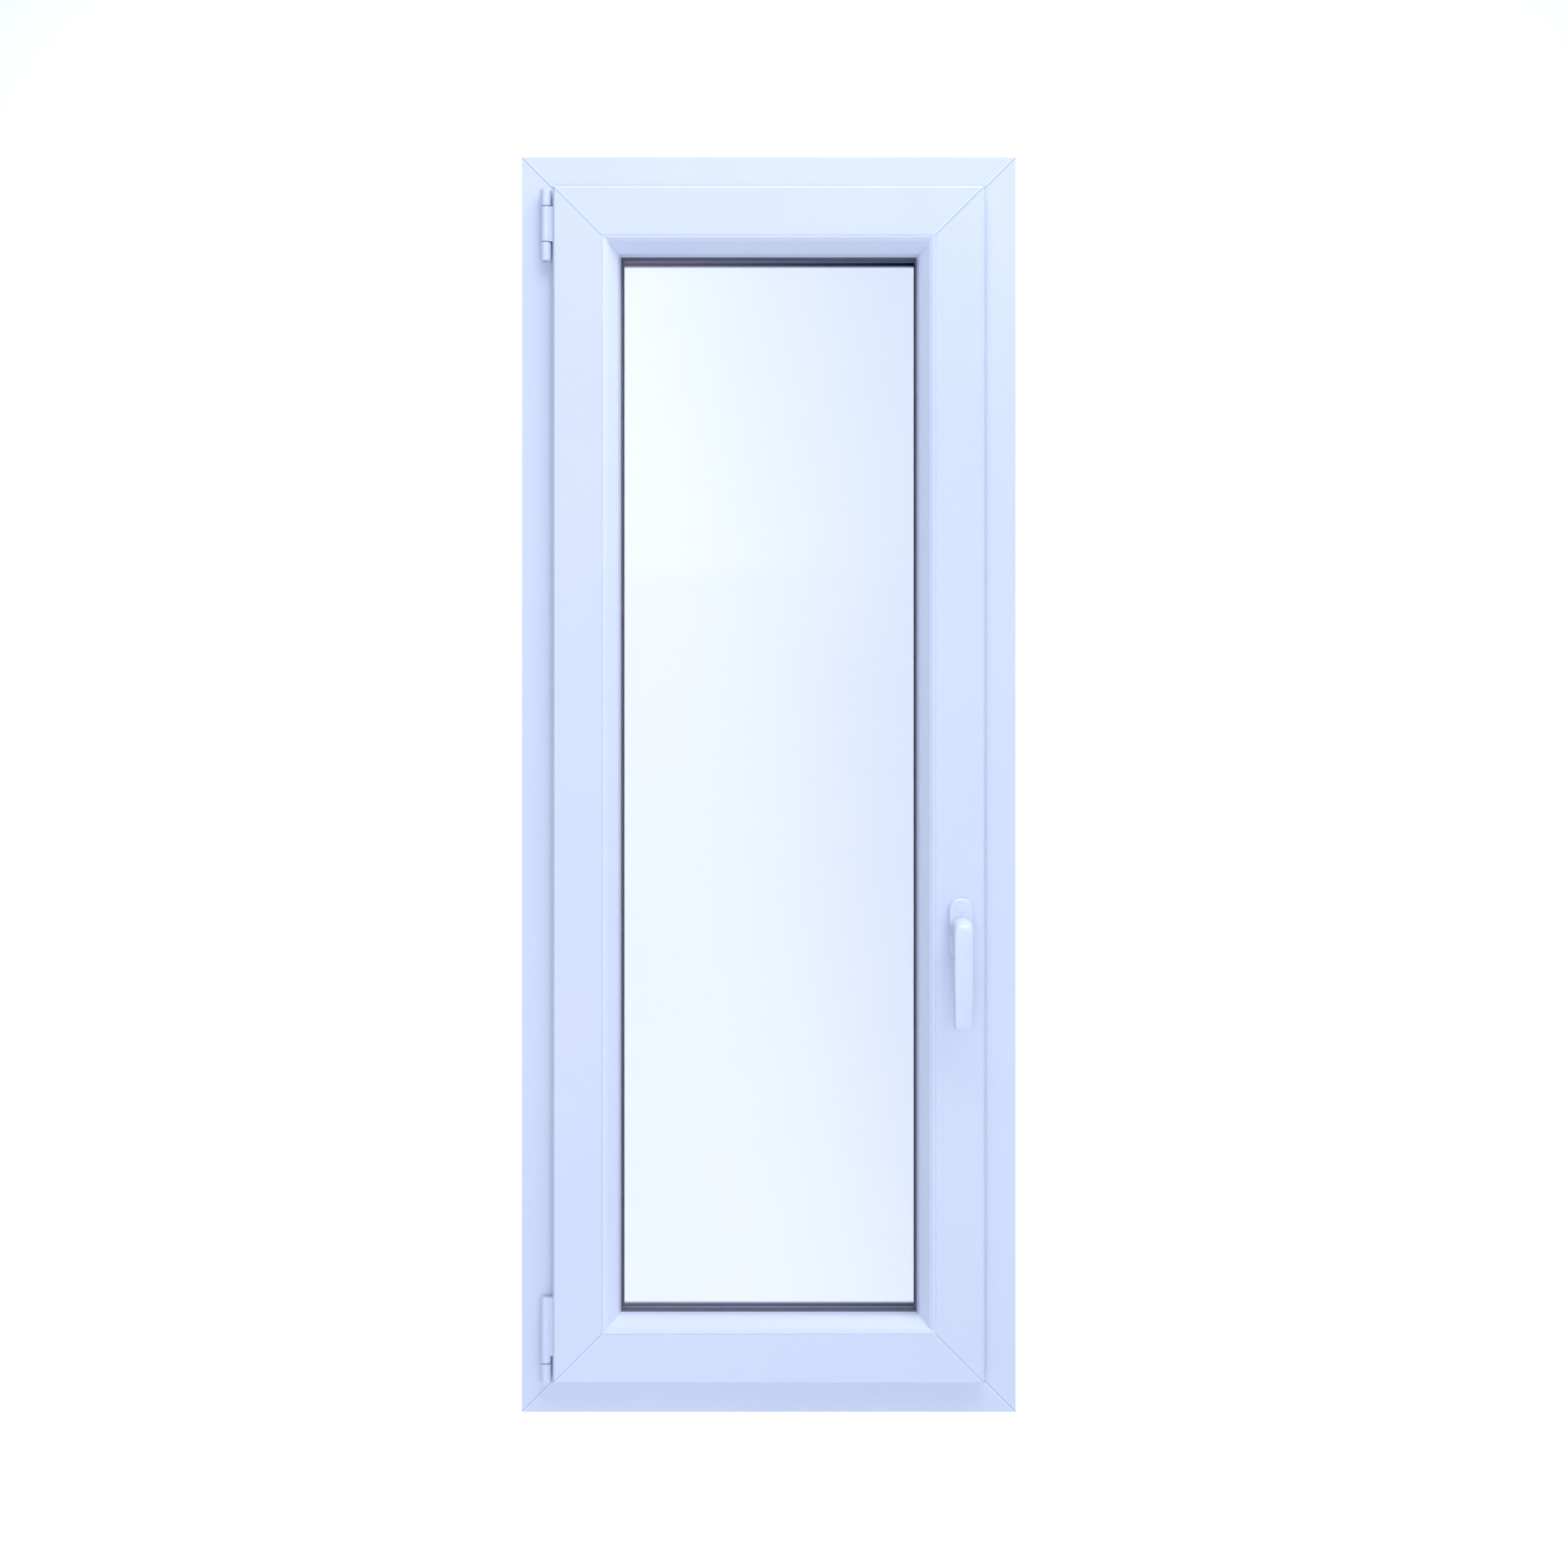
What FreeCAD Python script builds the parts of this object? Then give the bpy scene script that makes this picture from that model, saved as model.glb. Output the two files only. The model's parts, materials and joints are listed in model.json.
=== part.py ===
"""Tilt-and-turn casement window: frame, sash, triple glazing, hinges and handle drive.

Millimetres.  X runs to the right seen from the room, Y to the outside, Z up.
The origin is the middle of the frame's underside, half way through its depth.
"""
import FreeCAD
import Part
import Sketcher
import os
from math import pi, tan, radians

V = FreeCAD.Vector
DOC = FreeCAD.newDocument("CasementWindow")
SHEET = DOC.addObject("Spreadsheet::Sheet", "Sizes")
NODES = {}


class Dim:
    """A length that carries its value and the spreadsheet formula behind it."""

    def __init__(self, value, text=None):
        self.value = float(value)
        self.text = text or "(%.9g)" % self.value

    @property
    def bound(self):
        return "Sizes." in self.text

    def _join(self, other, sign, value):
        return Dim(value, "(%s %s %s)" % (self.text, sign, other.text))

    def __add__(self, other):
        other = dim(other)
        return self._join(other, "+", self.value + other.value)

    def __sub__(self, other):
        other = dim(other)
        return self._join(other, "-", self.value - other.value)

    def __mul__(self, other):
        other = dim(other)
        return self._join(other, "*", self.value * other.value)

    def __truediv__(self, other):
        other = dim(other)
        return self._join(other, "/", self.value / other.value)

    def __radd__(self, other):
        return dim(other) + self

    def __rsub__(self, other):
        return dim(other) - self

    def __rmul__(self, other):
        return dim(other) * self

    def __neg__(self):
        return dim(0) - self


def dim(value):
    return value if isinstance(value, Dim) else Dim(value)


def size(name, value):
    """One driving dimension: a spreadsheet row with an alias."""
    size.row += 1
    cell = "B%d" % size.row
    SHEET.set("A%d" % size.row, name)
    SHEET.set(cell, "%g" % value)
    SHEET.setAlias(cell, name)
    return Dim(value, "Sizes." + name)


size.row = 0

# Frame
frame_width = size("frame_width", 565)
frame_height = size("frame_height", 1435)
frame_depth = size("frame_depth", 82)
frame_face = size("frame_face", 45)
leg_rise = size("leg_rise", 22)
leg_thick = size("leg_thick", 14)
wall = size("wall_thick", 3)
edge = size("edge_break", 2.2)
seam = size("weld_seam", 0.4)
# Sash
overlap = size("sash_overlap", 8)
rebate_gap = size("rebate_gap", 12)
sash_proud = size("sash_proud", 18)
flange_thick = size("flange_thick", 14)
sash_face = size("sash_face", 56)
lip_thick = size("lip_thick", 15)
groove_depth = size("groove_depth", 12)
groove_width = size("groove_width", 12)
groove_set = size("groove_set", 27)
# Glazing
bead_width = size("bead_width", 20)
bead_depth = size("bead_depth", 25)
gasket = size("gasket_thick", 3)
pane_thick = size("pane_thick", 4)
cavity = size("cavity_depth", 12)
glass_grip = size("glass_grip", 15)
spacer_width = size("spacer_width", 9.8)
steel = size("steel_thick", 1.5)
# Handle and drive
handle_rise = size("handle_rise", 517)
backset = size("handle_backset", 7.5)
pitch_r = size("pinion_pitch_radius", 6.5)
rosette_w = size("rosette_width", 28)
rosette_tall = size("rosette_height", 69)
rosette_thick = size("rosette_thick", 10)
neck_r = size("neck_radius", 13.2)
grip_down = size("grip_down", 111.7)
grip_w = size("grip_width", 22.3)
screw_pitch = size("handle_screw_offset", 21.5)
rod_w = size("rod_width", 9)
rod_thick = size("rod_thick", 2.7)
cam_r = size("cam_radius", 5)
# Hinges and stay
barrel_r = size("barrel_radius", 6.15)
axis_out = size("axis_beside_sash", 8.5)
axis_set = size("axis_behind_sash_face", 10)
pin_r = size("hinge_pin_radius", 3)
tilt_z = size("tilt_axis_height", 62)
stay_reach = size("stay_reach", 290)

# Planes across the depth, from the room outwards
frame_in = -frame_depth / 2
frame_out = frame_depth / 2
leg_in = frame_out - leg_thick
sash_in = frame_in - sash_proud
flange_back = sash_in + flange_thick
sash_out = sash_in + frame_depth
bead_back = sash_in + bead_depth
glass_in = bead_back + gasket
glass_out = glass_in + 3 * pane_thick + 2 * cavity
lip_in = sash_out - lip_thick
groove_y = sash_in + groove_set
# Planes across the width and up the height
rebate_x = frame_width / 2 - frame_face
rebate_top = frame_height - frame_face
flange_x = rebate_x + overlap
flange_low = frame_face - overlap
flange_top = rebate_top + overlap
body_x = rebate_x - rebate_gap
body_low = frame_face + rebate_gap
body_top = rebate_top - rebate_gap
floor_x = flange_x - sash_face
floor_low = flange_low + sash_face
floor_top = flange_top - sash_face
sight_x = floor_x - bead_width
sight_low = floor_low + bead_width
sight_top = floor_top - bead_width
glass_x = sight_x + glass_grip
glass_low = sight_low - glass_grip
glass_top = sight_top + glass_grip
# Axes
axis_x = -flange_x - axis_out
axis_y = sash_in + axis_set
handle_x = body_x - backset
handle_z = flange_low + handle_rise
travel = pi * pitch_r

TURN = {"left": 0, "top": 90, "right": 180, "bottom": -90}
Z_TO = {
    "x": FreeCAD.Rotation(V(0, 1, 0), 90),
    "y": FreeCAD.Rotation(V(1, 0, 0), -90),
    "z": FreeCAD.Rotation(),
}


def bind(obj, name, value):
    value = dim(value)
    setattr(obj, name, value.value)
    if value.bound:
        obj.setExpression(name, value.text)


def place(obj, point, rotation=None):
    point = [dim(c) for c in point]
    rotation = rotation or FreeCAD.Rotation()
    obj.Placement = FreeCAD.Placement(V(*[c.value for c in point]), rotation)
    for letter, value in zip("xyz", point):
        if value.bound:
            obj.setExpression("Placement.Base." + letter, value.text)
    return obj


def node(label, obj):
    """Name a finished sub-part; the label is also its file name."""
    obj.Label = label
    NODES[label] = obj
    return obj


def box(x0, x1, y0, y1, z0, z1):
    solid = DOC.addObject("Part::Box", "Block")
    bind(solid, "Length", dim(x1) - x0)
    bind(solid, "Width", dim(y1) - y0)
    bind(solid, "Height", dim(z1) - z0)
    return place(solid, (x0, y0, z0))


def rod(axis, start, radius, length):
    """A round bar from start along +X, +Y or +Z."""
    solid = DOC.addObject("Part::Cylinder", "Round")
    bind(solid, "Radius", radius)
    bind(solid, "Height", length)
    return place(solid, start, Z_TO[axis])


def fuse(parts):
    joined = DOC.addObject("Part::MultiFuse", "Joined")
    joined.Shapes = parts
    joined.Refine = True
    return joined


def group(parts):
    gathered = DOC.addObject("Part::Compound", "Group")
    gathered.Links = parts
    return gathered


def cut(base, tools):
    made = DOC.addObject("Part::Cut", "Machined")
    made.Base = base
    made.Tool = tools[0] if len(tools) == 1 else fuse(tools)
    return made


def plane(body, role):
    return [f for f in body.Origin.OriginFeatures if f.Role == role][0]


def polygons(body, role, loops, offset=0):
    """A sketch of closed polygons, every corner bound to its formula."""
    sketch = body.newObject("Sketcher::SketchObject", "Section")
    sketch.AttachmentSupport = [(plane(body, role), "")]
    sketch.MapMode = "FlatFace"
    offset = dim(offset)
    sketch.AttachmentOffset = FreeCAD.Placement(V(0, 0, offset.value), FreeCAD.Rotation())
    if offset.bound:
        sketch.setExpression("AttachmentOffset.Base.z", offset.text)
    lines, joints, pins, formulas = [], [], [], []
    for loop in loops:
        loop = [(dim(a), dim(b)) for a, b in loop]
        first = len(lines)
        for i, (a, b) in enumerate(loop):
            c, d = loop[(i + 1) % len(loop)]
            lines.append(Part.LineSegment(V(a.value, b.value, 0), V(c.value, d.value, 0)))
            after = first + (i + 1) % len(loop)
            joints.append(Sketcher.Constraint("Coincident", first + i, 2, after, 1))
            pins.append(Sketcher.Constraint("DistanceX", -1, 1, first + i, 1, a.value))
            pins.append(Sketcher.Constraint("DistanceY", -1, 1, first + i, 1, b.value))
            formulas += [a, b]
    sketch.addGeometry(lines, False)
    sketch.addConstraint(joints + pins)
    for i, value in enumerate(formulas):
        if value.bound:
            sketch.setExpression("Constraints[%d]" % (len(joints) + i), value.text)
    return sketch


def circle(body, role, centre, radius, offset=0):
    """A sketch of one circle with bound centre and radius."""
    sketch = polygons(body, role, [], offset)
    values = [dim(centre[0]), dim(centre[1]), dim(radius)]
    middle = V(values[0].value, values[1].value, 0)
    sketch.addGeometry(Part.Circle(middle, V(0, 0, 1), values[2].value), False)
    sketch.addConstraint([
        Sketcher.Constraint("DistanceX", -1, 1, 0, 3, values[0].value),
        Sketcher.Constraint("DistanceY", -1, 1, 0, 3, values[1].value),
        Sketcher.Constraint("Radius", 0, values[2].value),
    ])
    for i, value in enumerate(values):
        if value.bound:
            sketch.setExpression("Constraints[%d]" % i, value.text)
    return sketch


def pad(body, sketch, length, both_ways=False):
    feature = body.newObject("PartDesign::Pad", "Pad")
    feature.Profile = sketch
    bind(feature, "Length", length)
    if both_ways:
        feature.SideType = "Symmetric"
    return feature


def pocket(body, sketch, length=None):
    """Cut both ways from the sketch: right through, or by half the length."""
    feature = body.newObject("PartDesign::Pocket", "Pocket")
    feature.Profile = sketch
    feature.SideType = "Symmetric"
    if length is None:
        feature.Type = "ThroughAll"
    else:
        bind(feature, "Length", length)
    return feature


def rect(a0, a1, b0, b1):
    return [(a0, b0), (a1, b0), (a1, b1), (a0, b1)]


def extrude(role, loops, length, offset=0, both_ways=False):
    body = DOC.addObject("PartDesign::Body", "Body")
    pad(body, polygons(body, role, loops, offset), length, both_ways)
    return body


def bar(loops, run, reach, front=None, trim=0, mitred=True):
    """One length of section: outward edge at local X 0, running up local Z."""
    body = DOC.addObject("PartDesign::Body", "Bar")
    pad(body, polygons(body, "XY_Plane", loops, trim), run - 2 * dim(trim))
    if not mitred:
        return body
    low = [(-4, -4), (reach, -4), (reach, reach)]
    high = [(-4, run + 4), (reach, run + 4), (reach, run - reach)]
    pocket(body, polygons(body, "XZ_Plane", [low, high]))
    if front is not None:
        low = [(-4, -4), (reach, reach), (reach, reach + seam), (-4, seam - 4)]
        high = [(-4, run + 4), (reach, run - reach), (reach, run - reach - seam), (-4, run + 4 - seam)]
        pocket(body, polygons(body, "XZ_Plane", [low, high], -front), 2 * seam)
    return body


def ring(loops, half, low, high, reach, front=None, trim=0, mitred=True):
    """Four lengths of one section round a rectangle, as a dictionary by side."""
    tall, wide = high - low, 2 * half
    starts = {
        "left": ((-half, 0, low), tall),
        "top": ((-half, 0, high), wide),
        "right": ((half, 0, high), tall),
        "bottom": ((half, 0, low), wide),
    }
    sides = {}
    for side, (start, run) in starts.items():
        turn = FreeCAD.Rotation(V(0, 1, 0), TURN[side])
        sides[side] = place(bar(loops, run, dim(reach), front, trim, mitred), start, turn)
    return sides


def side_box(side, along, in0, in1, y0, y1, run0, run1):
    """A block in the rebate: depth from the rebate face inwards, run from a cam's rest place."""
    if side == "right":
        return box(rebate_x - in1, rebate_x - in0, y0, y1, along - run1, along - run0)
    if side == "top":
        return box(along + run0, along + run1, y0, y1, rebate_top - in1, rebate_top - in0)
    return box(along - run1, along - run0, y0, y1, frame_face + in0, frame_face + in1)


def side_rod(side, along, in0, in1, y, radius, run=0):
    """A round bar square to the rebate face."""
    if side == "right":
        return rod("x", (rebate_x - in1, y, along - run), radius, dim(in1) - in0)
    if side == "top":
        return rod("z", (along + run, y, rebate_top - in1), radius, dim(in1) - in0)
    return rod("z", (along - run, y, frame_face + in0), radius, dim(in1) - in0)


def screw(side, along, seat, y, run=0, shank=1.7, length=9, head=3, inward=True):
    """A pan-head screw square to the rebate; seat is the surface under its head."""
    rise = 1.2
    if inward:
        stem = side_rod(side, along, seat, seat + length, y, shank, run)
        cap = side_rod(side, along, seat - rise, seat, y, head, run)
    else:
        stem = side_rod(side, along, seat - length, seat, y, shank, run)
        cap = side_rod(side, along, seat, seat + rise, y, head, run)
    return fuse([stem, cap])


# ---------------------------------------------------------------- fixed frame

FRAME_BOLTS = [frame_height * 0.105, frame_height / 2, frame_height * 0.895]
BOLT_Y = frame_in + 32
BOLT_R = 4.1
LEFT_SCREWS = {"pivot": [70, 96], "stay": [body_top - 56, body_top - 28]}
RODS_Y0 = groove_y - rod_w / 2
RODS_Y1 = groove_y + rod_w / 2

lock_cams = [body_low + 150, handle_z + 230, body_top - 130]
top_cam = body_x - 105
bottom_cam = body_x - 205
CAMS = [("right", place_z) for place_z in lock_cams] + [("top", top_cam), ("bottom", bottom_cam)]


def fixing_bores(side):
    start = -frame_width / 2 - 1 if side == "left" else rebate_x - 1
    return [rod("x", (start, BOLT_Y, z), BOLT_R, frame_face + 2) for z in FRAME_BOLTS]


def striker_bores(side, along):
    return [side_rod(side, along, -8, 3, groove_y + 2, 1.72, run) for run in (-18, 18)]


def left_bores(rows):
    return [rod("x", (-rebate_x - 9, groove_y + 2, z), 1.72, 12) for z in rows]


def build_frame():
    face, leg = frame_face, frame_face + leg_rise
    outline = [
        (0, frame_in), (face - edge, frame_in), (face, frame_in + edge), (face, leg_in),
        (leg, leg_in), (leg, frame_out - 2 * edge), (leg - 2 * edge, frame_out), (0, frame_out),
    ]
    steel_in, steel_out = frame_in + 17, frame_in + 47
    chambers = [
        rect(wall, face - wall, frame_in + wall, steel_in - wall),
        rect(wall, face - wall, steel_in, steel_out),
        rect(wall, face - wall, steel_out + wall, leg_in),
        rect(wall, leg - wall, leg_in + wall, frame_out - wall),
    ]
    half = frame_width / 2
    bars = ring([outline] + chambers, half, dim(0), frame_height, leg + 1, frame_in)
    leaf_low = box(-flange_x - 12.5, -rebate_x + 1, frame_in - 1, frame_in + 0.8, 36, 57.6)
    left_cuts = fixing_bores("left") + left_bores(LEFT_SCREWS["pivot"] + LEFT_SCREWS["stay"])
    node("frame_jamb_left", cut(bars["left"], left_cuts + [leaf_low]))
    right_cuts = fixing_bores("right")
    for side, along in CAMS[:3]:
        right_cuts += striker_bores(side, along)
    node("frame_jamb_right", cut(bars["right"], right_cuts))
    node("frame_head", cut(bars["top"], striker_bores("top", top_cam)))
    drains = []
    for x in (-140, 140):
        drains.append(box(x - 14, x + 14, leg_in - 14, leg_in - 8, face - 4, face + 1))
        drains.append(box(x - 14, x + 14, frame_out - 4, frame_out + 1, 12, 18))
    sill_leaf = box(-flange_x - 12.5, -rebate_x + 1, frame_in - 1, frame_in + 0.8, 36, 57.6)
    node("frame_sill", cut(bars["bottom"], striker_bores("bottom", bottom_cam) + drains + [sill_leaf]))

    clear = 0.5
    outer = rect(0, face - 2 * wall - 2 * clear, steel_in + clear, steel_out - clear)
    inner = rect(steel, face, steel_in + clear + steel, steel_out - clear - steel)
    channel = [
        outer[0], outer[1], (outer[1][0], inner[0][1]), inner[0],
        inner[3], (outer[1][0], inner[3][1]), outer[2], outer[3],
    ]
    inset = wall + clear
    reach = face + 1
    steels = ring([channel], half - inset, inset, frame_height - inset, reach, None, face + 3, False)
    jambs = cut(group([steels["left"], steels["right"]]), fixing_bores("left") + fixing_bores("right"))
    node("frame_steel_jambs", jambs)
    node("frame_steel_rails", group([steels["top"], steels["bottom"]]))

    bulb = [
        (0, leg_in), (0, leg_in - 1.2), (1, leg_in - 2.6), (3.5, sash_out + 0.3),
        (6, leg_in - 2.6), (7, leg_in - 1.2), (7, leg_in),
    ]
    at = leg - 9
    seal = ring([bulb], half - at, at, frame_height - at, 8)
    node("frame_gasket", fuse(list(seal.values())))

    hoods = []
    for x in (-140, 140):
        shell = box(x - 19, x + 19, frame_out, frame_out + 4, 9, 22)
        hoods.append(cut(shell, [box(x - 17.5, x + 17.5, frame_out - 1, frame_out + 2.8, 8, 20.5)]))
    node("drain_caps", group(hoods))


def build_strikers():
    plates, screws = {"right": [], "top": [], "bottom": []}, []
    for side, along in CAMS:
        plate = side_box(side, along, 0, 2, frame_in + 1.2, frame_in + 27, -26, 26)
        lip = side_box(side, along, 2, 8, frame_in + 1.2, groove_y - cam_r - 0.5, cam_r + 0.5, 25)
        plates[side].append(cut(fuse([plate, lip]), striker_bores(side, along)))
        for run in (-18, 18):
            screws.append(screw(side, along, dim(2), groove_y + 2, run, inward=False))
    node("lock_strikers", group(plates["right"] + plates["top"]))
    node("tilt_striker", group(plates["bottom"]))
    node("striker_screws", group(screws))


# ---------------------------------------------------------------- moving sash

PLATE_IN = rebate_gap + 0.2
PLATE_BACK = rebate_gap + 2.6
ROD_IN = rebate_gap + 2.9
ROD_BACK = ROD_IN + rod_thick
FLOOR_IN = rebate_gap + groove_depth
corner = dim(24.6)
PLATE_SCREWS = {
    "right": [body_low + 60, handle_z - 110, handle_z + 110, (handle_z + body_top) / 2 + 60],
    "top": [body_x - 60, -body_x + 75],
    "bottom": [body_x - 70, body_x - 260],
}


def plate_bores(side):
    return [
        side_rod(side, along, rebate_gap - 1, FLOOR_IN + wall + 8, groove_y, 1.72)
        for along in PLATE_SCREWS[side]
    ]


def build_sash():
    face, back = sash_face, flange_thick
    edge_in = overlap + rebate_gap
    lip_end = face + bead_width
    g0, g1 = groove_y - groove_width / 2, groove_y + groove_width / 2
    step = wall
    outline = [
        (0, sash_in + edge), (edge, sash_in), (face - 0.7, sash_in), (face, sash_in + 0.7),
        (face, sash_in + 7), (face - 2, sash_in + 7), (face - 2, sash_in + 11), (face, sash_in + 11),
        (face, lip_in), (lip_end, lip_in), (lip_end, sash_out - 2.5), (lip_end - 2.5, sash_out),
        (edge_in, sash_out), (edge_in, g1 + 2), (edge_in + step, g1 + 2), (edge_in + step, g1),
        (edge_in + groove_depth, g1), (edge_in + groove_depth, g0), (edge_in + step, g0),
        (edge_in + step, g0 - 2), (edge_in, g0 - 2), (edge_in, flange_back), (0, flange_back),
    ]
    inner = edge_in + groove_depth + wall
    steel_in = groove_y + 15
    chambers = [
        rect(wall, face - 6, sash_in + wall, sash_in + back - wall),
        rect(inner, face - wall, sash_in + back, steel_in - wall),
        rect(edge_in + wall, face - wall, steel_in, lip_in - wall),
        [
            (edge_in + wall, lip_in), (face - wall, lip_in), (face - wall, lip_in + wall),
            (lip_end - wall, lip_in + wall), (lip_end - wall, sash_out - wall),
            (edge_in + wall, sash_out - wall),
        ],
    ]
    bars = ring([outline] + chambers, flange_x, flange_low, flange_top, lip_end + 1, sash_in)

    case_cut = box(
        handle_x - pitch_r - 6.7, body_x - 2.9, g0 - 0.2, g1 + 0.2, handle_z - 50.2, handle_z + 50.2,
    )
    stile_cuts = [case_cut, rod("y", (handle_x, sash_in - 1, handle_z), 6.5, g0 - sash_in + 2)]
    for offset in (-screw_pitch, screw_pitch):
        z = handle_z + offset
        stile_cuts.append(rod("y", (handle_x, sash_in - 1, z), 2.52, g0 - sash_in + 2))
        stile_cuts.append(rod("y", (handle_x, g0 - 5.2, z), 4.2, 6))
    node("sash_lock_stile", cut(bars["right"], stile_cuts + plate_bores("right")))
    band = [rod("x", (-body_x - 1, groove_y + 11, z), 1.72, 12) for z in (80, 116)]
    node("sash_hinge_stile", cut(bars["left"], band))
    node("sash_top_rail", cut(bars["top"], plate_bores("top")))
    drains = [box(x - 12, x + 12, sash_in + 40, sash_in + 45, body_low - 1, floor_low + 1) for x in (-90, 90)]
    node("sash_bottom_rail", cut(bars["bottom"], plate_bores("bottom") + drains))

    clear = 0.5
    a0, a1 = steel_in + clear, lip_in - wall - clear
    deep = face - edge_in - 2 * wall - 2 * clear
    channel = [
        (0, a0), (deep, a0), (deep, a0 + steel), (steel, a0 + steel),
        (steel, a1 - steel), (deep, a1 - steel), (deep, a1), (0, a1),
    ]
    inset = edge_in + wall + clear
    steels = ring([channel], flange_x - inset, flange_low + inset, flange_top - inset,
                  face, None, sash_face - edge_in + 3, False)
    node("sash_steel_stiles", group([steels["left"], steels["right"]]))
    drain_gaps = [box(x - 13, x + 13, sash_in + 39, sash_in + 46, body_low, floor_low) for x in (-90, 90)]
    node("sash_steel_rails", cut(group([steels["top"], steels["bottom"]]), drain_gaps))

    seal = [
        (0, flange_back), (0, flange_back + 0.6), (1, flange_back + 1.6),
        (3, flange_back + 1.6), (4, flange_back + 0.6), (4, flange_back),
    ]
    strips = ring([seal], flange_x - 4, flange_low + 4, flange_top - 4, 5)
    notches = [
        box(-flange_x - 1, -rebate_x + 6, flange_back - 1, frame_in, flange_low - 1, 135),
        box(-flange_x - 1, -rebate_x + 6, flange_back - 1, frame_in, body_top - 44, body_top + 1),
    ]
    node("sash_gasket", cut(fuse(list(strips.values())), notches))


def build_glazing():
    slope = [
        (0, 0.7), (0.7, 0), (3, 0.8), (6.5, 3), (16, 13.5), (18, 16.5), (19.2, 22),
    ]
    scale_u, scale_y = bead_width / 20, bead_depth / 25
    outline = [(u * scale_u, sash_in + d * scale_y) for u, d in slope]
    outline += [
        (bead_width, bead_back), (0, bead_back), (0, sash_in + 10.8), (-1.8, sash_in + 10.8),
        (-1.8, sash_in + 7.2), (0, sash_in + 7.2),
    ]
    hollow = [(2, 3), (5.4, 4.8), (14.2, 14.6), (16, 17.2), (16.8, 23), (2, 23)]
    hollow = [(u * scale_u, sash_in + d * scale_y) for u, d in hollow]
    beads = ring([outline, hollow], floor_x, floor_low, floor_top, bead_width + 1, sash_in)
    for side, made in beads.items():
        node("glazing_bead_" + side, made)

    edge_u = bead_width - 6
    inner = [
        (0, bead_back), (6, bead_back), (8.4, glass_in - 1.2), (8.4, glass_in), (0, glass_in),
    ]
    strips = ring([inner], floor_x - edge_u, floor_low + edge_u, floor_top - edge_u, 9)
    node("glazing_gasket_inner", fuse(list(strips.values())))
    outer = [
        (0, glass_out), (9.3, glass_out), (9.3, glass_out + 1.2), (8, lip_in), (0, lip_in),
    ]
    edge_u = bead_width - 8
    strips = ring([outer], floor_x - edge_u, floor_low + edge_u, floor_top - edge_u, 10)
    node("glazing_gasket_outer", fuse(list(strips.values())))

    layers = ["inner", "middle", "outer"]
    for i, name in enumerate(layers):
        y = glass_in + i * (pane_thick + cavity)
        pane = box(-glass_x, glass_x, y, y + pane_thick, glass_low, glass_top)
        node("pane_" + name, pane)
    seals = []
    for i, name in enumerate(layers[:2]):
        y = glass_in + pane_thick + i * (pane_thick + cavity)
        loop = [rect(0, spacer_width, y, y + cavity)]
        rim = 4
        bars = ring(loop, glass_x - rim, glass_low + rim, glass_top - rim, spacer_width + 1)
        node("spacer_" + name, fuse(list(bars.values())))
        loop = [rect(0, 4, y, y + cavity)]
        bars = ring(loop, glass_x, glass_low, glass_top, 5)
        seals.append(fuse(list(bars.values())))
    node("edge_sealant", group(seals))

    blocks = []
    half_block = 30
    for x in (-110, 110):
        blocks.append(box(x - half_block, x + half_block, glass_in, glass_out, floor_low, glass_low))
        blocks.append(box(x - half_block, x + half_block, glass_in, glass_out, glass_top, floor_top))
    for z in (floor_low + 90, floor_top - 90):
        blocks.append(box(-floor_x, -glass_x, glass_in, glass_out, z - half_block, z + half_block))
        blocks.append(box(glass_x, floor_x, glass_in, glass_out, z - half_block, z + half_block))
    node("glazing_blocks", group(blocks))


# ---------------------------------------------------------------- locking gear

def cam(side, along):
    stem = side_rod(side, along, rebate_gap - 3.5, ROD_IN, groove_y, 2.5)
    head = side_rod(side, along, rebate_gap - 8, rebate_gap - 3.5, groove_y, cam_r)
    return fuse([stem, head])


def cam_slot(side, along):
    half = 2.8
    return side_box(side, along, rebate_gap - 1, PLATE_BACK + 1, groove_y - half, groove_y + half,
                    -travel - half, half)


def rod_slot(side, along):
    return side_box(side, along, ROD_IN - 1, ROD_BACK + 1, groove_y - 1.9, groove_y + 1.9,
                    -2.2, travel + 2.2)


def faceplate(side, low, high):
    y0, y1 = groove_y - 7.8, groove_y + 7.8
    if side == "right":
        return box(rebate_x - PLATE_BACK, rebate_x - PLATE_IN, y0, y1, low, high)
    if side == "top":
        return box(low, high, y0, y1, rebate_top - PLATE_BACK, rebate_top - PLATE_IN)
    return box(low, high, y0, y1, frame_face + PLATE_IN, frame_face + PLATE_BACK)


def drive_strip(side, low, high):
    if side == "right":
        return box(rebate_x - ROD_BACK, rebate_x - ROD_IN, RODS_Y0, RODS_Y1, low, high)
    if side == "top":
        return box(low, high, RODS_Y0, RODS_Y1, rebate_top - ROD_BACK, rebate_top - ROD_IN)
    return box(low, high, RODS_Y0, RODS_Y1, frame_face + ROD_IN, frame_face + ROD_BACK)


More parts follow.
